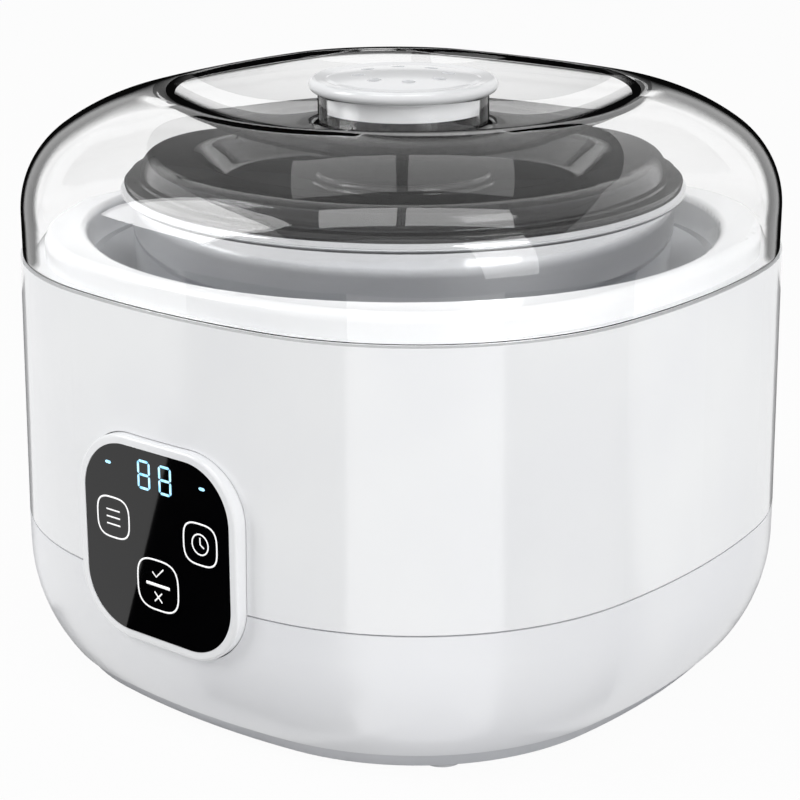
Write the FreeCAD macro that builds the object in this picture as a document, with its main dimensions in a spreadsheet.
import FreeCAD, Part
import math
import os

import Sketcher

# A yogurt maker as an assembly: rounded-square housing, heated well, steel pot, two lids.
# Millimetres, +Z up, origin on the table under the middle, control panel towards -Y.

Vector = FreeCAD.Vector
TINY = 1e-6
HALF_ROOT = math.sqrt(0.5)
# corner radius of a slot as a share of its width
SLOT_END = 0.49

SIZES = {
    # plan of the housing at the top seam: a square of large side arcs and corner arcs
    "half_width": 90.0,
    "side_radius": 199.3,
    "corner_radius": 68.9,
    # seams and walls of the housing
    "mid_seam_z": 39.1,
    "top_seam_z": 105.8,
    "seam_gap": 0.4,
    "lower_spread": 1.0,
    "shell_wall": 2.6,
    "piece_gap": 0.2,
    "top_flange_thick": 2.8,
    # base shell: a bowl that rounds in to the crease above the foot ring
    "bowl_radius": 42.75,
    "bowl_drop": 8.5,
    "crease_z": 5.4,
    "bowl_flange_thick": 2.6,
    "bowl_opening_inset": 24.0,
    "tongue_thick": 2.0,
    "tongue_height": 3.0,
    "tongue_root": 6.1,
    # bottom cover and feet
    "foot_lift": 0.8,
    "foot_radius": 5.0,
    "foot_thick": 2.2,
    "ring_step": 1.5,
    "ring_lean": 2.6,
    "cover_thick": 2.2,
    "cover_rim_thick": 2.0,
    "cover_rim_height": 2.2,
    "vent_length": 44.0,
    "vent_width": 3.0,
    "vent_pitch": 8.0,
    "vent_count": 6,
    # long screws and their bosses, on the diagonals
    "boss_gap": 1.1,
    "boss_radius": 4.5,
    "boss_rise": 23.0,
    "boss_rib_thick": 3.0,
    "boss_rib_gap": 0.9,
    "base_screw_radius": 1.5,
    "base_screw_length": 22.0,
    "base_screw_head_radius": 3.2,
    "base_screw_head_thick": 2.0,
    "screw_clearance": 0.15,
    # collar round the mouth
    "collar_inset": 6.1,
    "collar_height": 6.2,
    "collar_edge_radius": 2.4,
    "collar_lip_radius": 1.8,
    "collar_land": 4.7,
    "collar_skirt_wall": 1.6,
    "collar_skirt_gap": 0.3,
    # heated well and its screws
    "well_step": 7.7,
    "well_wall": 1.2,
    "well_floor_z": 32.5,
    "well_corner_radius": 8.0,
    "well_mouth_step": 2.2,
    "well_mouth_depth": 9.0,
    "well_flange_gap": 1.0,
    "well_flange_thick": 1.2,
    "well_screw_radius": 1.2,
    "well_screw_length": 3.4,
    "well_screw_head_radius": 2.2,
    "well_screw_head_thick": 1.5,
    "heater_thick": 1.5,
    "heater_rise": 15.5,
    "heater_height": 32.0,
    # sensor, strap and fuse under the floor of the well
    "sensor_radius": 6.0,
    "sensor_height": 5.0,
    "sensor_nose_radius": 4.5,
    "sensor_nose_height": 1.5,
    "clip_length": 32.0,
    "clip_width": 8.0,
    "clip_thick": 1.0,
    "fuse_radius": 2.2,
    "fuse_length": 12.0,
    "fuse_lead_radius": 0.5,
    "fuse_lead_length": 8.0,
    "fuse_offset": 22.0,
    # control panel
    "panel_width": 50.6,
    "panel_height": 51.0,
    "panel_corner": 15.6,
    "panel_rise": 11.2,
    "panel_proud": 1.3,
    "frame_rim": 2.15,
    "frame_edge_radius": 0.8,
    "frame_depth": 8.3,
    "frame_lip": 1.5,
    "frame_tab_width": 36.0,
    "frame_tab_reach": 3.0,
    "frame_tab_thick": 1.3,
    "frame_tab_back": 0.7,
    "glass_thick": 2.0,
    "glass_recess": 0.15,
    "glass_gap": 0.1,
    "board_thick": 1.6,
    "board_side_margin": 0.3,
    "board_end_margin": 2.5,
    "board_corner_step": 1.6,
    "board_gap": 0.1,
    "display_width": 17.0,
    "display_height": 8.8,
    "display_corner": 1.0,
    "display_drop": 8.3,
    "lamp_radius": 1.5,
    "lamp_margin": 10.3,
    "lamp_drop": 7.9,
    "key_pad_radius": 4.4,
    "key_margin": 11.3,
    "key_drop": 21.3,
    "lower_key_lift": 16.0,
    "board_screw_radius": 0.9,
    "board_screw_length": 5.0,
    "board_screw_head_radius": 1.8,
    "board_screw_head_thick": 1.2,
    "board_screw_rise": 8.0,
    # power board over the bottom cover
    "power_board_width": 92.0,
    "power_board_depth": 60.0,
    "power_board_corner": 3.0,
    "power_board_y": 12.0,
    "power_board_z": 13.0,
    "post_radius": 3.5,
    "post_margin": 5.0,
    "part_gap": 0.05,
    "relay_width": 19.0,
    "relay_depth": 15.5,
    "relay_height": 14.5,
    "relay_margin": 18.0,
    "relay_shift": 2.0,
    "capacitor_width": 18.0,
    "capacitor_depth": 8.5,
    "capacitor_height": 13.5,
    "capacitor_margin": 19.0,
    "capacitor_shift": 16.0,
    "transformer_width": 16.0,
    "transformer_depth": 17.0,
    "transformer_height": 12.5,
    "transformer_margin": 18.0,
    "transformer_shift": -6.0,
    "terminal_width": 22.0,
    "terminal_depth": 9.0,
    "terminal_height": 10.0,
    "terminal_margin": 8.0,
    "terminal_hole_radius": 1.6,
    "terminal_hole_rise": 4.0,
    "terminal_hole_depth": 5.4,
    "terminal_pitch": 7.0,
    # appliance inlet at the back
    "inlet_drop": 12.1,
    "inlet_flange_width": 30.0,
    "inlet_flange_height": 16.0,
    "inlet_corner": 4.0,
    "inlet_body_width": 24.0,
    "inlet_body_height": 12.0,
    "inlet_depth": 16.0,
    "inlet_socket_radius": 4.5,
    "inlet_socket_reach": 3.8,
    "inlet_socket_depth": 11.0,
    "inlet_pad_margin": 1.5,
    "inlet_pad_depth": 6.0,
    "pin_radius": 1.2,
    "pin_pitch": 6.6,
    "pin_length": 9.0,
    # steel pot
    "pot_gap": 3.5,
    "pot_taper": 1.5,
    "pot_wall": 1.0,
    "pot_corner_radius": 10.0,
    "pot_seat_gap": 0.2,
    "pot_rim_rise": 16.6,
    "pot_rim_reach": 2.5,
    "pot_bead_radius": 1.35,
    # inner lid and its seal
    "lid_seat_gap": 0.2,
    "pot_lid_wall": 1.8,
    "pot_lid_flange_inset": 1.0,
    "pot_lid_flange_thick": 1.2,
    "pot_lid_side_gap": 1.6,
    "pot_lid_height": 6.8,
    "pot_lid_edge_radius": 4.0,
    "pot_lid_shoulder_width": 13.9,
    "pot_lid_slope_width": 6.5,
    "pot_lid_slope_shift": 0.72,
    "pot_lid_sink_depth": 6.8,
    "pot_lid_grip_radius": 22.5,
    "pot_lid_grip_height": 2.6,
    "pot_lid_skirt_depth": 5.6,
    "pot_lid_skirt_wall": 1.6,
    "seal_height": 2.4,
    "seal_drop": 2.0,
    "seal_groove": 0.6,
    "seal_gap": 0.1,
    "seal_pot_gap": 0.35,
    # outer lid
    "lid_inset": 0.6,
    "lid_wall": 2.4,
    "lid_seam_gap": 0.3,
    "lid_shoulder_rise": 10.7,
    "lid_shoulder_radius": 24.0,
    "lid_shoulder_turn": 54.6,
    "lid_crown_radius": 57.0,
    "lid_land": 32.5,
    "lid_ring_overlap": 8.5,
    "dish_rim_drop": 0.47,
    "dish_turn": 30.0,
    "dish_lip_radius": 4.0,
    "dish_lip_slope": 5.0,
    "dish_lip_rise": 0.6,
    "dish_root_reach": 3.5,
    "neck_radius": 21.5,
    "neck_wall": 2.0,
    "neck_root": 1.5,
    "neck_height": 8.6,
    # knob
    "knob_flange_radius": 23.8,
    "knob_flange_thick": 3.3,
    "knob_gap": 0.2,
    "knob_height": 4.4,
    "knob_face_radius": 18.6,
    "knob_dome_radius": 150.0,
    "knob_valley_width": 0.9,
    "knob_valley_depth": 0.35,
    "knob_wall": 2.4,
    "knob_skirt_depth": 4.8,
    "knob_skirt_gap": 0.2,
    "knob_vent_circle": 11.4,
    "knob_vent_radius": 1.75,
    "knob_vent_count": 8,
}


class Size:
    """A length together with the sheet expression that gives it."""

    def __init__(self, value, text):
        self.value = float(value)
        self.text = text

    def __add__(self, other):
        other = as_size(other)
        return Size(self.value + other.value, f"({self.text} + {other.text})")

    def __sub__(self, other):
        other = as_size(other)
        return Size(self.value - other.value, f"({self.text} - {other.text})")

    def __mul__(self, factor):
        return Size(self.value * factor, f"({self.text} * {factor})")

    def __neg__(self):
        return Size(-self.value, f"(-1 * {self.text})")


def as_size(number):
    """A bare number as a length of its own."""
    if isinstance(number, Size):
        return number
    return Size(number, str(number))


def leg(slant, side):
    """The other short side of a right triangle."""
    value = math.sqrt(slant.value ** 2 - side.value ** 2)
    return Size(value, f"sqrt({slant.text}^2 - {side.text}^2)")


def across(length, angle):
    """The part of a slanted length that lies along the line its angle is taken from."""
    value = length.value * math.cos(math.radians(angle.value))
    return Size(value, f"({length.text} * cos({angle.text} * 1 deg))")


def along(length, angle):
    """The part of a slanted length that stands square to that line."""
    value = length.value * math.sin(math.radians(angle.value))
    return Size(value, f"({length.text} * sin({angle.text} * 1 deg))")


def slant(rise, angle):
    """The slanted length that climbs so far at that angle."""
    value = rise.value / math.sin(math.radians(angle.value))
    return Size(value, f"({rise.text} / sin({angle.text} * 1 deg))")


def half_row(count, pitch):
    """Half the length of a row of evenly spaced items."""
    value = (count.value - 1) / 2 * pitch.value
    return Size(value, f"(({count.text} - 1) / 2 * {pitch.text})")


class Sizes:
    """The driving sizes, read by name."""


document = FreeCAD.newDocument("YogurtMaker")
sheet = document.addObject("Spreadsheet::Sheet", "Sizes")
S = Sizes()
for row, (alias, number) in enumerate(SIZES.items(), start=1):
    sheet.set(f"A{row}", alias)
    sheet.set(f"B{row}", str(number))
    sheet.setAlias(f"B{row}", alias)
    setattr(S, alias, Size(number, f"Sizes.{alias}"))
document.recompute()

ZERO = as_size(0)
nodes = []


def new_body(label):
    """An empty body for one piece."""
    body = document.addObject("PartDesign::Body", label)
    body.Label = label
    nodes.append(body)
    return body


def sketch_on(body, role, lift=ZERO):
    """A sketch on one of the body's own planes, lifted along the plane's normal."""
    plane = [item for item in body.Origin.OriginFeatures if item.Role == role][0]
    sketch = body.newObject("Sketcher::SketchObject", f"{body.Label}_sketch")
    sketch.AttachmentSupport = [(plane, "")]
    sketch.MapMode = "FlatFace"
    sketch.AttachmentOffset = FreeCAD.Placement(Vector(0, 0, lift.value), FreeCAD.Rotation())
    sketch.setExpression("AttachmentOffset.Base.z", lift.text)
    return sketch


def drive(sketch, constraint, length):
    """Add a dimension and tie it to the sheet."""
    index = sketch.addConstraint(constraint)
    sketch.setExpression(f"Constraints[{index}]", length.text)


def place(sketch, edge, end, x, y):
    """Hold one end of an edge at a point given by two lengths."""
    for kind, axis, length in (("DistanceX", -2, x), ("DistanceY", -1, y)):
        if abs(length.value) < TINY:
            sketch.addConstraint(Sketcher.Constraint("PointOnObject", edge, end, axis))
        elif length.value > 0:
            drive(sketch, Sketcher.Constraint(kind, -1, 1, edge, end, length.value), length)
        else:
            drive(sketch, Sketcher.Constraint(kind, edge, end, -1, 1, -length.value), -length)


def arc_between(start, stop, radius):
    """The short arc from start to stop, turning left for a positive radius."""
    middle = (start + stop) * 0.5
    chord = stop - start
    rise = math.sqrt(max(radius * radius - chord.Length ** 2 / 4, 0.0))
    side = Vector(-chord.y, chord.x, 0).normalize()
    centre = middle + side * math.copysign(rise, radius)
    first, last = (start, stop) if radius > 0 else (stop, start)
    angles = [math.atan2(point.y - centre.y, point.x - centre.x) for point in (first, last)]
    return Part.ArcOfCircle(Part.Circle(centre, Vector(0, 0, 1), abs(radius)), angles[0], angles[1])


def outline(sketch, corners):
    """Close an outline of straight stretches and arcs, every corner tied to the sheet.

    A corner is (x, y), or (x, y, radius) where an arc leads on to the next corner:
    it turns left for a positive radius and right for a negative one.
    """
    base = sketch.GeometryCount
    count = len(corners)
    ends = []
    spots = [Vector(corner[0].value, corner[1].value, 0) for corner in corners]
    for index, corner in enumerate(corners):
        start, stop = spots[index], spots[(index + 1) % count]
        if len(corner) == 3:
            sketch.addGeometry(arc_between(start, stop, corner[2].value))
            ends.append((1, 2) if corner[2].value > 0 else (2, 1))
        else:
            sketch.addGeometry(Part.LineSegment(start, stop))
            ends.append((1, 2))
    for index, corner in enumerate(corners):
        here, before = base + index, base + (index - 1) % count
        last, first = ends[index - 1][1], ends[index][0]
        sketch.addConstraint(Sketcher.Constraint("Coincident", before, last, here, first))
        place(sketch, here, first, corner[0], corner[1])
        if len(corner) == 3:
            radius = corner[2] if corner[2].value > 0 else -corner[2]
            drive(sketch, Sketcher.Constraint("Radius", here, radius.value), radius)


def circle(sketch, radius, x=ZERO, y=ZERO):
    """A full circle."""
    edge = sketch.addGeometry(Part.Circle(Vector(x.value, y.value, 0), Vector(0, 0, 1), radius.value))
    drive(sketch, Sketcher.Constraint("Radius", edge, radius.value), radius)
    place(sketch, edge, 3, x, y)


def rounded_rectangle(sketch, width, height, corner, x=ZERO, y=ZERO):
    """A rectangle with round corners about a centre."""
    right, top = width * 0.5, height * 0.5
    outline(sketch, [
        (x + right - corner, y - top, corner),
        (x + right, y - top + corner),
        (x + right, y + top - corner, corner),
        (x + right - corner, y + top),
        (x - right + corner, y + top, corner),
        (x - right, y + top - corner),
        (x - right, y - top + corner, corner),
        (x - right + corner, y - top),
    ])


def rectangle(sketch, left, bottom, right, top):
    """A rectangle between two corners."""
    outline(sketch, [(left, bottom), (right, bottom), (right, top), (left, top)])


def plan_corner():
    """Where the plan crosses its diagonal, as the same length along X and along Y."""
    hub = S.half_width - S.side_radius
    slant = S.side_radius - S.corner_radius
    centre = (hub.value + math.sqrt(2 * slant.value ** 2 - hub.value ** 2)) / 2
    text = f"(({hub.text} + sqrt(2 * {slant.text}^2 - {hub.text}^2)) / 2)"
    return Size(centre, text) + S.corner_radius * HALF_ROOT


def plan(sketch, inset):
    """The rounded-square plan, drawn in by an inset: four corner arcs between halves of side arcs."""
    reach, side, corner = S.half_width - inset, S.side_radius - inset, S.corner_radius - inset
    hub = reach.value - side.value
    slant = side.value - corner.value
    corner_hub = (hub + math.sqrt(2 * slant ** 2 - hub ** 2)) / 2
    turn = math.atan2(corner_hub, corner_hub - hub)
    for quarter in range(4):
        lean = quarter * math.pi / 2
        spin = FreeCAD.Rotation(Vector(0, 0, 1), math.degrees(lean))
        for centre, radius, low, high in (
                (Vector(hub, 0, 0), side.value, 0, turn),
                (Vector(corner_hub, corner_hub, 0), corner.value, turn, math.pi / 2 - turn),
                (Vector(0, hub, 0), side.value, math.pi / 2 - turn, math.pi / 2)):
            ring = Part.Circle(spin.multVec(centre), Vector(0, 0, 1), radius)
            sketch.addGeometry(Part.ArcOfCircle(ring, low + lean, high + lean))
    for edge in range(12):
        sketch.addConstraint(Sketcher.Constraint("Tangent", edge, 2, (edge + 1) % 12, 1))
        radius = corner if edge % 3 == 1 else side
        drive(sketch, Sketcher.Constraint("Radius", edge, radius.value), radius)
    for quarter, (x, y) in enumerate(((reach, ZERO), (ZERO, reach), (-reach, ZERO), (ZERO, -reach))):
        place(sketch, 3 * quarter, 1, x, y)
        sketch.addConstraint(Sketcher.Constraint("PointOnObject", 3 * quarter, 3, -1 - quarter % 2))


def pad(body, sketch, length):
    """Grow a sketch along its normal."""
    feature = body.newObject("PartDesign::Pad", f"{body.Label}_pad")
    feature.Profile = sketch
    feature.setExpression("Length", length.text)
    document.recompute()
    return feature


def cut(body, kind, sketch, settings):
    """A feature that takes material away, and must do so."""
    before = body.Shape.Volume
    feature = body.newObject(kind, f"{body.Label}_cut")
    feature.Profile = sketch
    for name, value in settings.items():
        setattr(feature, name, value)
    return feature, before


def check_cut(body, before):
    """Stop if a cut took nothing away."""
    document.recompute()
    if body.Shape.Volume > before - TINY:
        raise RuntimeError(f"a cut in {body.Label} removed nothing")


def pocket(body, sketch, depth, forward=False):
    """Cut a sketch into the body, against its normal unless forward."""
    feature, before = cut(body, "PartDesign::Pocket", sketch, {"Reversed": forward})
    feature.setExpression("Length", depth.text)
    check_cut(body, before)
    return feature


def revolve(body, corners):
    """A solid of revolution about the upright axis, from an outline of radius and height."""
    sketch = sketch_on(body, "XZ_Plane")
    outline(sketch, corners)
    feature = body.newObject("PartDesign::Revolution", f"{body.Label}_turn")
    feature.Profile = sketch
    feature.ReferenceAxis = (sketch, ["V_Axis"])
    feature.Angle = 360
    document.recompute()
    return feature


def groove(body, corners):
    """Cut a ring-shaped or round hollow about the upright axis."""
    sketch = sketch_on(body, "XZ_Plane")
    outline(sketch, corners)
    settings = {"ReferenceAxis": (sketch, ["V_Axis"]), "Angle": 360}
    feature, before = cut(body, "PartDesign::Groove", sketch, settings)
    check_cut(body, before)
    return feature


def sweep(body, corners):
    """Carry an upright section round the rounded-square plan."""
    path = sketch_on(body, "XY_Plane")
    plan(path, ZERO)
    section = sketch_on(body, "XZ_Plane")
    outline(section, corners)
    document.recompute()
    feature = body.newObject("PartDesign::AdditivePipe", f"{body.Label}_sweep")
    feature.Profile = section
    feature.Spine = (path, [f"Edge{number + 1}" for number in range(12)])
    document.recompute()
    return feature


def fillet(body, feature, radius, wanted):
    """Round the edges of a feature that a test picks out."""
    names = [f"Edge{number}" for number, edge in enumerate(feature.Shape.Edges, start=1) if wanted(edge)]
    rounding = body.newObject("PartDesign::Fillet", f"{body.Label}_rounding")
    rounding.Base = (feature, names)
    rounding.setExpression("Radius", radius.text)
    document.recompute()
    return rounding


def level(edge, height):
    """Whether an edge lies flat at a height."""
    box = edge.BoundBox
    return abs(box.ZMin - height.value) < 1e-4 and abs(box.ZMax - height.value) < 1e-4


def is_ring(edge, radius):
    """Whether an edge is part of a circle of that radius about the upright axis."""
    curve = edge.Curve
    round_edge = isinstance(curve, Part.Circle) and abs(curve.Radius - radius.value) < 1e-4
    return round_edge and math.hypot(curve.Center.x, curve.Center.y) < 1e-4


def corner_spots(reach_x, reach_y, middle_y=ZERO):
    """Four points, one in each quarter."""
    return [(x, middle_y + y) for x in (reach_x, -reach_x) for y in (reach_y, -reach_y)]


def cylinder(label, radius, height, base=(ZERO, ZERO, ZERO), tilt=0):
    """A plain round bar that stands on a point, tipped towards -Y by a tilt about X."""
    bar = document.addObject("Part::Cylinder", label)
    bar.setExpression("Radius", radius.text)
    bar.setExpression("Height", height.text)
    set_place(bar, base, tilt)
    return bar


def set_place(item, base, tilt=0):
    """Put an object at a point given by three lengths."""
    spot = Vector(*[length.value for length in base])
    item.Placement = FreeCAD.Placement(spot, FreeCAD.Rotation(Vector(1, 0, 0), tilt))
    for axis, length in zip("xyz", base):
        item.setExpression(f"Placement.Base.{axis}", length.text)


def group(label, items):
    """Several separate solids that share one node."""
    bundle = document.addObject("Part::Compound", label)
    bundle.Label = label
    bundle.Links = items
    nodes.append(bundle)
    document.recompute()
    return bundle


def screws(label, head_radius, head_thick, radius, length, spots, tilt=0):
    """Round-headed screws whose heads stand under the given points."""
    items = []
    for spot in spots:
        head = cylinder(f"{label}_head", head_radius, head_thick, (ZERO, ZERO, -head_thick))
        shank = cylinder(f"{label}_shank", radius, length)
        screw = document.addObject("Part::Fuse", f"{label}_one")
        screw.Base = head
        screw.Tool = shank
        set_place(screw, spot, tilt)
        items.append(screw)
    return group(label, items)


def crown_hub():
    """Centre of the flatter arc over the top of the dome."""
    gap = S.lid_crown_radius - S.lid_shoulder_radius
    hub_x = S.half_width - S.lid_inset - S.lid_shoulder_radius - across(gap, S.lid_shoulder_turn)
    return hub_x, lid_shoulder_z - along(gap, S.lid_shoulder_turn)


def crown_height(inset, x):
    """Height of the dome, or of its inside, over a point of the section."""
    hub_x, hub_z = crown_hub()
    return hub_z + leg(S.lid_crown_radius - inset, x - hub_x)


# Lengths that several pieces share
lower_half_width = S.half_width + S.lower_spread
bowl_start_z = S.mid_seam_z - S.bowl_drop
bowl_centre = lower_half_width - S.bowl_radius
crease_half_width = bowl_centre + leg(S.bowl_radius, bowl_start_z - S.crease_z)
shell_bottom_z = S.mid_seam_z + S.seam_gap * 0.5
bowl_top_z = S.mid_seam_z - S.seam_gap * 0.5
bowl_floor_z = S.crease_z + S.bowl_flange_thick
top_flange_z = S.top_seam_z - S.top_flange_thick
collar_top_z = S.top_seam_z + S.collar_height
mouth_radius = S.half_width - S.collar_inset - S.collar_land
collar_skirt_radius = mouth_radius + S.collar_skirt_wall
flange_hole_radius = collar_skirt_radius + S.collar_skirt_gap
well_radius = mouth_radius - S.well_step
well_outer_radius = well_radius + S.well_wall
well_under_z = S.well_floor_z - S.well_wall
well_flange_radius = S.half_width - S.shell_wall - S.well_flange_gap
well_flange_z = top_flange_z - S.well_flange_thick
well_screw_circle = (flange_hole_radius + well_flange_radius) * 0.5
heater_radius = well_outer_radius + S.piece_gap
boss_offset = (heater_radius + S.heater_thick + S.boss_gap + S.boss_radius) * HALF_ROOT
boss_hole_radius = S.base_screw_radius + S.screw_clearance
boss_top_z = S.mid_seam_z + S.boss_rise
cover_top_z = S.crease_z - S.piece_gap
screw_seat_z = S.foot_thick + S.piece_gap + S.base_screw_head_thick
panel_z = S.mid_seam_z + S.panel_rise
panel_top = panel_z + S.panel_height * 0.5
panel_low = panel_z - S.panel_height * 0.5
panel_front = lower_half_width + S.panel_proud
panel_back = panel_front - S.frame_depth
glass_back = panel_front - S.glass_recess - S.glass_thick
board_front = panel_back - S.board_gap
inlet_z = S.mid_seam_z - S.inlet_drop
inlet_face = lower_half_width + S.piece_gap * 0.5
pot_radius = well_radius - S.pot_gap
pot_floor_z = S.well_floor_z + S.pot_seat_gap
pot_rim_z = S.top_seam_z + S.pot_rim_rise
pot_rim_radius = pot_radius + S.pot_rim_reach
pot_lid_seat_z = pot_rim_z + S.lid_seat_gap
pot_lid_top_z = pot_lid_seat_z + S.pot_lid_height
pot_lid_sink_z = pot_lid_top_z - S.pot_lid_sink_depth
pot_lid_grip_z = pot_lid_sink_z + S.pot_lid_grip_height
lid_bottom_z = S.top_seam_z + S.lid_seam_gap
lid_shoulder_z = S.top_seam_z + S.lid_shoulder_rise
dish_rim_radius = S.half_width - S.lid_land
dish_rim_z = crown_height(ZERO, dish_rim_radius) - S.dish_rim_drop
dish_start = S.neck_radius + S.neck_root
dish_radius = slant(dish_rim_radius - dish_start, S.dish_turn)
dish_floor_z = dish_rim_z - dish_radius + across(dish_radius, S.dish_turn)
dish_under_z = dish_floor_z - S.lid_wall
neck_top_z = dish_floor_z + S.neck_height
knob_seat_z = neck_top_z + S.knob_gap
knob_top_z = knob_seat_z + S.knob_height


def panel_window(body, depth):
    """Cut the opening for the panel frame through the front wall."""
    sketch = sketch_on(body, "XZ_Plane", panel_front)
    gap = S.piece_gap * 2
    rounded_rectangle(sketch, S.panel_width + gap, S.panel_height + gap,
                      S.panel_corner + S.piece_gap, ZERO, panel_z)
    pocket(body, sketch, depth)


def make_upper_shell():
    """White upper housing: a drafted wall, a flange round the mouth and four long screw bosses."""
    body = new_body("upper_shell")
    sweep(body, [
        (lower_half_width, shell_bottom_z),
        (S.half_width, S.top_seam_z),
        (S.half_width - S.shell_wall, S.top_seam_z),
        (lower_half_width - S.shell_wall, shell_bottom_z),
    ])
    flange = sketch_on(body, "XY_Plane", top_flange_z)
    plan(flange, S.shell_wall * 0.5)
    circle(flange, flange_hole_radius)
    pad(body, flange, S.top_flange_thick)
    rib_bottom_z = S.mid_seam_z + S.tongue_height + S.boss_rib_gap
    ribs = sketch_on(body, "XY_Plane", rib_bottom_z)
    side = S.boss_rib_thick * (0.5 * HALF_ROOT)
    far = plan_corner() - S.lower_spread * HALF_ROOT
    for sign_x, sign_y in ((1, 1), (-1, 1), (-1, -1), (1, -1)):
        near = [(boss_offset + side, boss_offset - side), (far + side, far - side),
                (far - side, far + side), (boss_offset - side, boss_offset + side)]
        outline(ribs, [(x * sign_x, y * sign_y) for x, y in near])
    pad(body, ribs, boss_top_z - rib_bottom_z)
    bosses = sketch_on(body, "XY_Plane", bowl_floor_z + S.piece_gap)
    for x, y in corner_spots(boss_offset, boss_offset):
        circle(bosses, S.boss_radius, x, y)
    pad(body, bosses, boss_top_z - bowl_floor_z - S.piece_gap)
    pilots = sketch_on(body, "XY_Plane", bowl_floor_z)
    for x, y in corner_spots(boss_offset, boss_offset):
        circle(pilots, boss_hole_radius, x, y)
    pocket(body, pilots, S.base_screw_length, forward=True)
    taps = sketch_on(body, "XY_Plane", top_flange_z)
    for x, y in well_screw_spots():
        circle(taps, S.well_screw_radius + S.screw_clearance, x, y)
    pocket(body, taps, S.well_screw_length - S.well_flange_thick + S.piece_gap, forward=True)
    panel_window(body, panel_front - panel_back)


def make_base_shell():
    """Lower housing: a bowl that rounds in to the crease, with a tongue into the upper shell."""
    body = new_body("base_shell")
    inner_radius = S.bowl_radius - S.shell_wall
    inner_wall = lower_half_width - S.shell_wall
    tongue_face = inner_wall - S.piece_gap
    opening = S.half_width - S.bowl_opening_inset
    sweep(body, [
        (lower_half_width, bowl_top_z),
        (tongue_face, bowl_top_z),
        (tongue_face, S.mid_seam_z + S.tongue_height),
        (tongue_face - S.tongue_thick, S.mid_seam_z + S.tongue_height),
        (tongue_face - S.tongue_thick, S.mid_seam_z - S.tongue_root),
        (inner_wall, bowl_start_z, -inner_radius),
        (bowl_centre + leg(inner_radius, bowl_start_z - bowl_floor_z), bowl_floor_z),
        (opening, bowl_floor_z),
        (opening, S.crease_z),
        (crease_half_width, S.crease_z, S.bowl_radius),
        (lower_half_width, bowl_start_z),
    ])
    holes = sketch_on(body, "XY_Plane", bowl_floor_z)
    for x, y in corner_spots(boss_offset, boss_offset):
        circle(holes, boss_hole_radius, x, y)
    pocket(body, holes, S.bowl_flange_thick)
    boss = sketch_on(body, "XZ_Plane", -inlet_face)
    margin = S.inlet_pad_margin * 2
    rounded_rectangle(boss, S.inlet_flange_width + margin, S.inlet_flange_height + margin,
                      S.inlet_corner + S.inlet_pad_margin, ZERO, inlet_z)
    pad(body, boss, S.inlet_pad_depth)
    window = sketch_on(body, "XZ_Plane", -(inlet_face - S.inlet_depth))
    gap = S.piece_gap * 2
    rounded_rectangle(window, S.inlet_body_width + gap, S.inlet_body_height + gap,
                      S.inlet_corner, ZERO, inlet_z)
    pocket(body, window, S.inlet_depth)
    panel_window(body, panel_front - panel_back)


def make_bottom_cover():
    """Foot ring and bottom plate, with vents, screw wells and posts for the power board."""
    body = new_body("bottom_cover")
    ring_top = crease_half_width - S.ring_step
    opening = S.half_width - S.bowl_opening_inset
    sweep(body, [
        (ring_top, cover_top_z),
        (opening - S.cover_rim_thick, cover_top_z),
        (opening - S.cover_rim_thick, S.foot_lift),
        (ring_top - S.ring_lean, S.foot_lift),
    ])
    plate = sketch_on(body, "XY_Plane", cover_top_z - S.cover_thick)
    plan(plate, S.bowl_opening_inset)
    pad(body, plate, S.cover_thick)
    rim = sketch_on(body, "XY_Plane", cover_top_z)
    plan(rim, S.bowl_opening_inset + S.piece_gap * 2)
    pad(body, rim, S.cover_rim_height)
    hollow = sketch_on(body, "XY_Plane", cover_top_z)
    plan(hollow, S.bowl_opening_inset + S.piece_gap * 2 + S.cover_rim_thick)
    pocket(body, hollow, S.cover_rim_height, forward=True)
    posts = sketch_on(body, "XY_Plane", cover_top_z)
    for x, y in post_spots():
        circle(posts, S.post_radius, x, y)
    pad(body, posts, S.power_board_z - cover_top_z)
    pilots = sketch_on(body, "XY_Plane", S.power_board_z)
    for x, y in post_spots():
        circle(pilots, S.board_screw_radius + S.screw_clearance, x, y)
    pocket(body, pilots, S.board_screw_length)
    wells = sketch_on(body, "XY_Plane", S.foot_lift)
    for x, y in corner_spots(boss_offset, boss_offset):
        circle(wells, S.foot_radius + S.piece_gap, x, y)
    pocket(body, wells, S.foot_thick - S.foot_lift + S.piece_gap, forward=True)
    counterbores = sketch_on(body, "XY_Plane", S.foot_lift)
    for x, y in corner_spots(boss_offset, boss_offset):
        circle(counterbores, S.base_screw_head_radius + S.piece_gap, x, y)
    pocket(body, counterbores, screw_seat_z - S.foot_lift, forward=True)
    holes = sketch_on(body, "XY_Plane", S.foot_lift)
    for x, y in corner_spots(boss_offset, boss_offset):
        circle(holes, boss_hole_radius, x, y)
    pocket(body, holes, cover_top_z, forward=True)
    vent = sketch_on(body, "XY_Plane", cover_top_z)
    rounded_rectangle(vent, S.vent_length, S.vent_width, S.vent_width * SLOT_END,
                      ZERO, -half_row(S.vent_count, S.vent_pitch))
    slot = pocket(body, vent, S.cover_thick)
    rows = body.newObject("PartDesign::LinearPattern", "bottom_cover_vents")
    rows.Originals = [slot]
    rows.Direction = (vent, ["V_Axis"])
    rows.Mode = "Spacing"
    rows.setExpression("Offset", S.vent_pitch.text)
    rows.setExpression("Occurrences", S.vent_count.text)
    body.Tip = rows
    document.recompute()


def make_feet():
    """Rubber feet that plug the four screw wells."""
    spots = corner_spots(boss_offset, boss_offset)
    group("rubber_feet", [cylinder("foot", S.foot_radius, S.foot_thick, (x, y, ZERO)) for x, y in spots])


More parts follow.
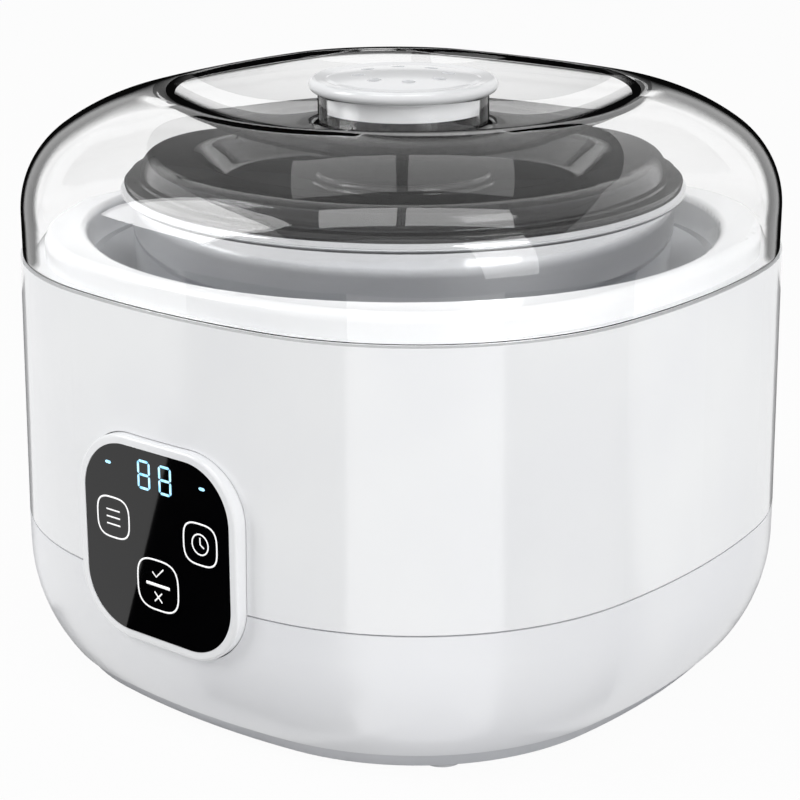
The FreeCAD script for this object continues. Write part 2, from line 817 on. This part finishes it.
def make_base_screws():
    """Long screws from below through the cover and the base into the bosses of the upper shell."""
    spots = [(x, y, screw_seat_z) for x, y in corner_spots(boss_offset, boss_offset)]
    screws("base_screws", S.base_screw_head_radius, S.base_screw_head_thick,
           S.base_screw_radius, S.base_screw_length, spots)


def make_collar():
    """White ring round the mouth: rounded-square outside, round inside, with a skirt into the flange."""
    body = new_body("top_collar")
    ring = sketch_on(body, "XY_Plane", S.top_seam_z)
    plan(ring, S.collar_inset)
    circle(ring, mouth_radius)
    feature = pad(body, ring, collar_top_z - S.top_seam_z)
    feature = fillet(body, feature, S.collar_edge_radius,
                     lambda edge: level(edge, collar_top_z) and not is_ring(edge, mouth_radius))
    feature = fillet(body, feature, S.collar_lip_radius,
                     lambda edge: level(edge, collar_top_z) and is_ring(edge, mouth_radius))
    skirt = sketch_on(body, "XY_Plane", top_flange_z)
    circle(skirt, collar_skirt_radius)
    circle(skirt, mouth_radius)
    pad(body, skirt, S.top_flange_thick)


def well_screw_spots():
    """Four points on the axes, on the flange of the well."""
    reach = well_screw_circle
    return [(reach, ZERO), (ZERO, reach), (-reach, ZERO), (ZERO, -reach)]


def make_well():
    """Drawn aluminium well with a funnel mouth and a flange that hangs under the upper shell."""
    body = new_body("heating_well")
    corner = S.well_corner_radius
    floor_reach = well_radius - corner
    turn_z = S.well_floor_z + corner
    mouth_x = mouth_radius - S.well_mouth_step
    mouth_z = top_flange_z - S.well_mouth_depth
    revolve(body, [
        (ZERO, S.well_floor_z),
        (ZERO, well_under_z),
        (floor_reach, well_under_z, corner + S.well_wall),
        (well_outer_radius, turn_z),
        (well_outer_radius, mouth_z),
        (mouth_x, well_flange_z),
        (well_flange_radius, well_flange_z),
        (well_flange_radius, top_flange_z),
        (mouth_x, top_flange_z),
        (well_radius, mouth_z),
        (well_radius, turn_z, -corner),
        (floor_reach, S.well_floor_z),
    ])
    holes = sketch_on(body, "XY_Plane", top_flange_z)
    for x, y in well_screw_spots():
        circle(holes, S.well_screw_radius + S.screw_clearance, x, y)
    pocket(body, holes, S.well_flange_thick)
    spots = [(x, y, well_flange_z) for x, y in well_screw_spots()]
    screws("well_screws", S.well_screw_head_radius, S.well_screw_head_thick,
           S.well_screw_radius, S.well_screw_length, spots)


def make_heater():
    """Heating band round the wall of the well."""
    body = new_body("heater_band")
    low = S.well_floor_z + S.heater_rise
    top = low + S.heater_height
    revolve(body, [
        (heater_radius, low),
        (heater_radius + S.heater_thick, low),
        (heater_radius + S.heater_thick, top),
        (heater_radius, top),
    ])


def make_sensor():
    """Sensor capsule against the floor of the well, held by a strap."""
    top = well_under_z - S.part_gap
    low = top - S.sensor_height
    nose = low + S.sensor_nose_height
    body = new_body("temperature_sensor")
    revolve(body, [
        (ZERO, low),
        (S.sensor_nose_radius, low),
        (S.sensor_radius, nose),
        (S.sensor_radius, top),
        (ZERO, top),
    ])
    strap = new_body("sensor_clip")
    side = S.sensor_radius + S.piece_gap
    reach = S.clip_length * 0.5
    under = low - S.part_gap
    section = sketch_on(strap, "XZ_Plane", -(S.clip_width * 0.5))
    outline(section, [
        (-reach, top), (-reach, top - S.clip_thick), (-side - S.clip_thick, top - S.clip_thick),
        (-side - S.clip_thick, under - S.clip_thick), (side + S.clip_thick, under - S.clip_thick),
        (side + S.clip_thick, top - S.clip_thick), (reach, top - S.clip_thick), (reach, top),
        (side, top), (side, under), (-side, under), (-side, top),
    ])
    pad(strap, section, S.clip_width)


def make_fuse():
    """Thermal cut-out: a capsule with a lead at each end, lying under the floor of the well."""
    centre_z = well_under_z - S.part_gap - S.fuse_radius
    half = S.fuse_length * 0.5
    case = cylinder("fuse_case", S.fuse_radius, S.fuse_length, (ZERO, ZERO, -half))
    lead = cylinder("fuse_lead", S.fuse_lead_radius, S.fuse_length + S.fuse_lead_length * 2,
                    (ZERO, ZERO, -half - S.fuse_lead_length))
    fuse = document.addObject("Part::Fuse", "thermal_fuse")
    fuse.Label = "thermal_fuse"
    fuse.Base = case
    fuse.Tool = lead
    set_place(fuse, (ZERO, -S.fuse_offset, centre_z))
    fuse.Placement.Rotation = FreeCAD.Rotation(Vector(0, 1, 0), 90)
    nodes.append(fuse)
    document.recompute()


def make_panel_frame():
    """White frame of the panel: a rounded tray for the glass, with two tabs behind the wall."""
    body = new_body("panel_frame")
    front = sketch_on(body, "XZ_Plane", panel_back)
    rounded_rectangle(front, S.panel_width, S.panel_height, S.panel_corner, ZERO, panel_z)
    feature = pad(body, front, S.frame_depth)
    fillet(body, feature, S.frame_edge_radius,
           lambda edge: abs(edge.BoundBox.YMax + panel_front.value) < 1e-4)
    tabs = sketch_on(body, "XZ_Plane", panel_back + S.frame_tab_back)
    half, wide = S.panel_height * 0.5, S.frame_tab_width * 0.5
    rectangle(tabs, -wide, panel_z - half - S.frame_tab_reach, wide, panel_z - half + S.frame_rim)
    rectangle(tabs, -wide, panel_z + half - S.frame_rim, wide, panel_z + half + S.frame_tab_reach)
    pad(body, tabs, S.frame_tab_thick)
    rim = S.frame_rim * 2
    tray = sketch_on(body, "XZ_Plane", panel_front)
    rounded_rectangle(tray, S.panel_width - rim, S.panel_height - rim,
                      S.panel_corner - S.frame_rim, ZERO, panel_z)
    pocket(body, tray, panel_front - glass_back)
    wall = (S.frame_rim + S.frame_lip) * 2
    through = sketch_on(body, "XZ_Plane", panel_front)
    rounded_rectangle(through, S.panel_width - wall, S.panel_height - wall,
                      S.panel_corner - S.frame_rim - S.frame_lip, ZERO, panel_z)
    pocket(body, through, S.frame_depth)
    pilots = sketch_on(body, "XZ_Plane", panel_back)
    for x, z in board_screw_spots():
        circle(pilots, S.board_screw_radius + S.screw_clearance, x, z)
    pocket(body, pilots, S.board_screw_length - S.board_thick, forward=True)


def make_panel_glass():
    """Black window of the panel."""
    body = new_body("panel_glass")
    sketch = sketch_on(body, "XZ_Plane", glass_back)
    rim = (S.frame_rim + S.glass_gap) * 2
    rounded_rectangle(sketch, S.panel_width - rim, S.panel_height - rim,
                      S.panel_corner - S.frame_rim - S.glass_gap, ZERO, panel_z)
    pad(body, sketch, S.glass_thick)


def board_screw_spots():
    """Four points on the side walls of the panel frame."""
    reach = S.panel_width * 0.5 - (S.frame_rim + S.frame_lip) * 0.5
    return [(x, panel_z + z) for x in (reach, -reach) for z in (S.board_screw_rise, -S.board_screw_rise)]


def make_control_board():
    """Board on the back of the panel frame, with display, lamps and touch pads up to the glass."""
    body = new_body("control_board")
    sketch = sketch_on(body, "XZ_Plane", board_front - S.board_thick)
    width = S.panel_width - S.board_side_margin * 2
    height = S.panel_height - S.board_end_margin * 2
    rounded_rectangle(sketch, width, height, S.panel_corner - S.board_corner_step, ZERO, panel_z)
    for x, z in board_screw_spots():
        circle(sketch, S.board_screw_radius + S.screw_clearance, x, z)
    pad(body, sketch, S.board_thick)
    spots = [(x, -(board_front - S.board_thick), z) for x, z in board_screw_spots()]
    screws("board_screws", S.board_screw_head_radius, S.board_screw_head_thick,
           S.board_screw_radius, S.board_screw_length - S.piece_gap, spots, tilt=90)
    stand = glass_back - S.piece_gap - board_front - S.part_gap
    display = new_body("display_module")
    face = sketch_on(display, "XZ_Plane", board_front + S.part_gap)
    rounded_rectangle(face, S.display_width, S.display_height,
                      S.display_corner, ZERO, panel_top - S.display_drop)
    pad(display, face, stand)
    seat = -(board_front + S.part_gap)
    lamp_x = S.panel_width * 0.5 - S.lamp_margin
    lamps = [(x, seat, panel_top - S.lamp_drop) for x in (lamp_x, -lamp_x)]
    group("indicator_leds", [cylinder("lamp", S.lamp_radius, stand, spot, tilt=90) for spot in lamps])
    key_x = S.panel_width * 0.5 - S.key_margin
    pads = [(x, seat, panel_top - S.key_drop) for x in (key_x, -key_x)]
    pads.append((ZERO, seat, panel_low + S.lower_key_lift))
    group("touch_pads", [cylinder("pad", S.key_pad_radius, stand, spot, tilt=90) for spot in pads])


def post_spots():
    """Four posts near the corners of the power board."""
    reach_x = S.power_board_width * 0.5 - S.post_margin
    reach_y = S.power_board_depth * 0.5 - S.post_margin
    return corner_spots(reach_x, reach_y, S.power_board_y)


def block(label, width, depth, height, corner, x, y, bottom):
    """A moulded component with round upright edges."""
    body = new_body(label)
    sketch = sketch_on(body, "XY_Plane", bottom)
    rounded_rectangle(sketch, width, depth, corner, x, y)
    pad(body, sketch, height)
    return body


def make_power_board():
    """Mains board on its posts, with relay, capacitor, transformer and terminals."""
    body = new_body("power_board")
    sketch = sketch_on(body, "XY_Plane", S.power_board_z)
    rounded_rectangle(sketch, S.power_board_width, S.power_board_depth,
                      S.power_board_corner, ZERO, S.power_board_y)
    for x, y in post_spots():
        circle(sketch, S.board_screw_radius + S.screw_clearance, x, y)
    pad(body, sketch, S.board_thick)
    top = S.power_board_z + S.board_thick
    seat = top + S.part_gap
    corner = S.display_corner
    end_x, middle_y = S.power_board_width * 0.5, S.power_board_y
    terminal_y = middle_y + S.power_board_depth * 0.5 - S.terminal_margin
    block("power_relay", S.relay_width, S.relay_depth, S.relay_height, corner,
          end_x - S.relay_margin, middle_y + S.relay_shift, seat)
    block("supply_capacitor", S.capacitor_width, S.capacitor_depth, S.capacitor_height, corner * 2,
          S.capacitor_margin - end_x, middle_y + S.capacitor_shift, seat)
    block("supply_transformer", S.transformer_width, S.transformer_depth, S.transformer_height, corner,
          S.transformer_margin - end_x, middle_y + S.transformer_shift, seat)
    terminals = block("terminal_block", S.terminal_width, S.terminal_depth, S.terminal_height, corner,
                      ZERO, terminal_y, seat)
    mouths = sketch_on(terminals, "XZ_Plane", -(terminal_y + S.terminal_depth * 0.5))
    for offset in (-S.terminal_pitch, ZERO, S.terminal_pitch):
        circle(mouths, S.terminal_hole_radius, offset, seat + S.terminal_hole_rise)
    pocket(terminals, mouths, S.terminal_hole_depth, forward=True)
    spots = [(x, y, top) for x, y in post_spots()]
    screws("power_board_screws", S.board_screw_head_radius, S.board_screw_head_thick,
           S.board_screw_radius, S.board_screw_length, spots, tilt=180)


def make_inlet():
    """Appliance inlet at the back: a flange, a body and an oblong socket with two pins."""
    body = new_body("cord_inlet")
    flange = sketch_on(body, "XZ_Plane", -panel_front)
    rounded_rectangle(flange, S.inlet_flange_width, S.inlet_flange_height, S.inlet_corner, ZERO, inlet_z)
    pad(body, flange, panel_front - inlet_face)
    core = sketch_on(body, "XZ_Plane", -inlet_face)
    rounded_rectangle(core, S.inlet_body_width, S.inlet_body_height,
                      S.inlet_corner - S.piece_gap, ZERO, inlet_z)
    pad(body, core, S.inlet_depth)
    socket = sketch_on(body, "XZ_Plane", -panel_front)
    reach, radius = S.inlet_socket_reach, S.inlet_socket_radius
    outline(socket, [
        (-reach, inlet_z - radius),
        (reach, inlet_z - radius, radius),
        (reach + radius, inlet_z, radius),
        (reach, inlet_z + radius),
        (-reach, inlet_z + radius, radius),
        (-reach - radius, inlet_z, radius),
    ])
    pocket(body, socket, S.inlet_socket_depth, forward=True)
    foot = panel_front - S.inlet_socket_depth + S.pin_length
    half = S.pin_pitch * 0.5
    pins = [cylinder("pin", S.pin_radius, S.pin_length, (x, foot, inlet_z), tilt=90) for x in (half, -half)]
    group("inlet_pins", pins)


def make_pot():
    """Drawn steel pot: tapered wall, round bottom edge and a rolled rim."""
    body = new_body("inner_pot")
    low_radius = pot_radius - S.pot_taper
    corner = S.pot_corner_radius
    inner_corner = corner - S.pot_wall
    bead = S.pot_bead_radius
    bead_centre = pot_rim_radius - bead
    under_rim_z = pot_rim_z - bead * 2
    floor_reach = low_radius - corner
    revolve(body, [
        (ZERO, pot_floor_z + S.pot_wall),
        (ZERO, pot_floor_z),
        (floor_reach, pot_floor_z, corner),
        (low_radius, pot_floor_z + corner),
        (pot_radius, under_rim_z),
        (bead_centre, under_rim_z, bead),
        (pot_rim_radius, pot_rim_z - bead, bead),
        (bead_centre, pot_rim_z),
        (pot_radius - S.pot_wall, pot_rim_z),
        (pot_radius - S.pot_wall, under_rim_z),
        (low_radius - S.pot_wall, pot_floor_z + corner, -inner_corner),
        (floor_reach, pot_floor_z + S.pot_wall),
    ])


def make_pot_lid():
    """Smoky inner lid: flange on the pot's rim, shoulder, sunken middle, low grip, skirt with a seal."""
    body = new_body("pot_lid")
    wall = S.pot_lid_wall
    side = pot_radius - S.pot_wall - S.pot_lid_side_gap
    edge = S.pot_lid_edge_radius
    skirt_in = side - S.pot_lid_skirt_wall
    skirt_low = pot_lid_seat_z - S.pot_lid_skirt_depth
    seal_top = pot_lid_seat_z - S.seal_drop
    seal_low = seal_top - S.seal_height
    groove_radius = side - S.seal_groove
    shoulder_in_z = pot_lid_top_z - wall
    ring_x = side - S.pot_lid_shoulder_width
    sink_x = ring_x - S.pot_lid_slope_width
    flange_x = pot_rim_radius - S.pot_lid_flange_inset
    revolve(body, [
        (ZERO, pot_lid_grip_z),
        (ZERO, pot_lid_grip_z - wall),
        (S.pot_lid_grip_radius - wall, pot_lid_grip_z - wall),
        (S.pot_lid_grip_radius - wall, pot_lid_sink_z - wall),
        (sink_x + S.pot_lid_slope_shift, pot_lid_sink_z - wall),
        (ring_x + S.pot_lid_slope_shift, shoulder_in_z),
        (side - edge, shoulder_in_z, -(edge - S.pot_lid_skirt_wall)),
        (skirt_in, pot_lid_top_z - edge),
        (skirt_in, skirt_low),
        (side, skirt_low),
        (side, seal_low),
        (groove_radius, seal_low),
        (groove_radius, seal_top),
        (side, seal_top),
        (side, pot_lid_seat_z),
        (flange_x, pot_lid_seat_z),
        (flange_x, pot_lid_seat_z + S.pot_lid_flange_thick),
        (side, pot_lid_seat_z + S.pot_lid_flange_thick),
        (side, pot_lid_top_z - edge, edge),
        (side - edge, pot_lid_top_z),
        (ring_x, pot_lid_top_z),
        (sink_x, pot_lid_sink_z),
        (S.pot_lid_grip_radius, pot_lid_sink_z),
        (S.pot_lid_grip_radius, pot_lid_grip_z),
    ])
    seal = new_body("lid_seal")
    inner = groove_radius + S.seal_gap
    outer = pot_radius - S.pot_wall - S.seal_pot_gap
    low, top = seal_low + S.seal_gap, seal_top - S.seal_gap
    revolve(seal, [
        (inner, low),
        (side, low),
        (outer, low + S.seal_height * 0.5),
        (outer, top),
        (inner, top),
    ])


def lid_section(inset):
    """Corners of one face of the dome, from its lower edge to its inner end."""
    wall_x = S.half_width - S.lid_inset - inset
    shoulder = S.lid_shoulder_radius - inset
    turn = S.lid_shoulder_turn
    end_x = dish_rim_radius - S.lid_ring_overlap
    return [
        (wall_x, lid_bottom_z),
        (wall_x, lid_shoulder_z, shoulder),
        (wall_x - shoulder + across(shoulder, turn), lid_shoulder_z + along(shoulder, turn),
         S.lid_crown_radius - inset),
        (end_x, crown_height(inset, end_x)),
    ]


def backwards(corners):
    """The same stretch of outline walked the other way."""
    result = []
    for index in range(len(corners) - 1, -1, -1):
        corner = corners[index][:2]
        before = corners[index - 1] if index > 0 else ()
        result.append(corner + (-before[2],) if len(before) == 3 else corner)
    return result


def make_outer_lid():
    """Clear lid: a rounded-square dome, a dished finger recess and an open neck for the knob."""
    body = new_body("outer_lid")
    sweep(body, lid_section(ZERO) + backwards(lid_section(S.lid_wall)))
    hub_z = dish_floor_z + dish_radius
    # the lip: an arc that leaves the dish at its rim and levels out into the dome
    lip = dish_radius + S.dish_lip_radius
    edge_x = dish_start + along(lip, S.dish_turn) - along(S.dish_lip_radius, S.dish_lip_slope)
    edge_z = hub_z - across(lip, S.dish_turn) + across(S.dish_lip_radius, S.dish_lip_slope)
    clear_x = edge_x + across(slant(S.dish_lip_rise, S.dish_lip_slope), S.dish_lip_slope)
    clear_z = edge_z + S.dish_lip_rise
    over_z = clear_z + S.lid_wall
    groove(body, [
        (ZERO, over_z),
        (ZERO, dish_floor_z),
        (dish_start, dish_floor_z, dish_radius),
        (dish_rim_radius, dish_rim_z, -S.dish_lip_radius),
        (edge_x, edge_z),
        (clear_x, clear_z),
        (clear_x, over_z),
    ])
    # the dish itself ends inside the wall of the dome
    neck_in = S.neck_radius - S.neck_wall
    under_radius = dish_radius + S.lid_wall
    root_x = dish_rim_radius + S.dish_root_reach
    root_z = hub_z - leg(under_radius, root_x - dish_start)
    revolve(body, [
        (neck_in, dish_under_z),
        (dish_start, dish_under_z, under_radius),
        (root_x, root_z),
        (dish_rim_radius, dish_rim_z, -dish_radius),
        (dish_start, dish_floor_z, -S.neck_root),
        (S.neck_radius, dish_floor_z + S.neck_root),
        (S.neck_radius, neck_top_z),
        (neck_in, neck_top_z),
    ])


def make_knob():
    """White knob: a round-edged flange on the neck, a low dome with vent holes and a skirt in the neck."""
    body = new_body("lid_knob")
    half = S.knob_flange_thick * 0.5
    edge_x = S.knob_flange_radius - half
    flange_top = knob_seat_z + S.knob_flange_thick
    skirt = S.neck_radius - S.neck_wall - S.knob_skirt_gap
    skirt_in = skirt - S.knob_wall
    face_z = knob_top_z - S.knob_dome_radius + leg(S.knob_dome_radius, S.knob_face_radius)
    under = face_z - S.knob_wall
    revolve(body, [
        (ZERO, knob_top_z),
        (ZERO, under),
        (skirt_in, under),
        (skirt_in, knob_seat_z - S.knob_skirt_depth),
        (skirt, knob_seat_z - S.knob_skirt_depth),
        (skirt, knob_seat_z),
        (edge_x, knob_seat_z, half),
        (S.knob_flange_radius, knob_seat_z + half, half),
        (edge_x, flange_top),
        (S.knob_face_radius + S.knob_valley_width, flange_top - S.knob_valley_depth),
        (S.knob_face_radius, face_z, S.knob_dome_radius),
    ])
    hole_sketch = sketch_on(body, "XY_Plane", knob_top_z)
    circle(hole_sketch, S.knob_vent_radius, ZERO, S.knob_vent_circle)
    hole = pocket(body, hole_sketch, knob_top_z - under)
    ring = body.newObject("PartDesign::PolarPattern", "lid_knob_vents")
    ring.Originals = [hole]
    ring.Axis = (hole_sketch, ["N_Axis"])
    ring.Angle = 360
    ring.setExpression("Occurrences", S.knob_vent_count.text)
    body.Tip = ring
    document.recompute()


make_upper_shell()
make_base_shell()
make_bottom_cover()
make_feet()
make_base_screws()
make_collar()
make_well()
make_heater()
make_sensor()
make_fuse()
make_panel_frame()
make_panel_glass()
make_control_board()
make_power_board()
make_inlet()
make_pot()
make_pot_lid()
make_outer_lid()
make_knob()
document.recompute()

for item in document.Objects:
    if "Invalid" in item.State or "Error" in item.State:
        raise RuntimeError(f"{item.Label} failed: {item.State}")
for node in nodes:
    if node.Shape.isNull() or not node.Shape.isValid():
        raise RuntimeError(f"{node.Label} has no valid shape")

os.makedirs("parts", exist_ok=True)
for node in nodes:
    node.Shape.exportStep(f"parts/{node.Label}.step")
    box = node.Shape.BoundBox
    print(f"{node.Label}: {len(node.Shape.Solids)} solids, {node.Shape.Volume / 1000:.2f} cm3, "
          f"z {box.ZMin:.1f} to {box.ZMax:.1f}")
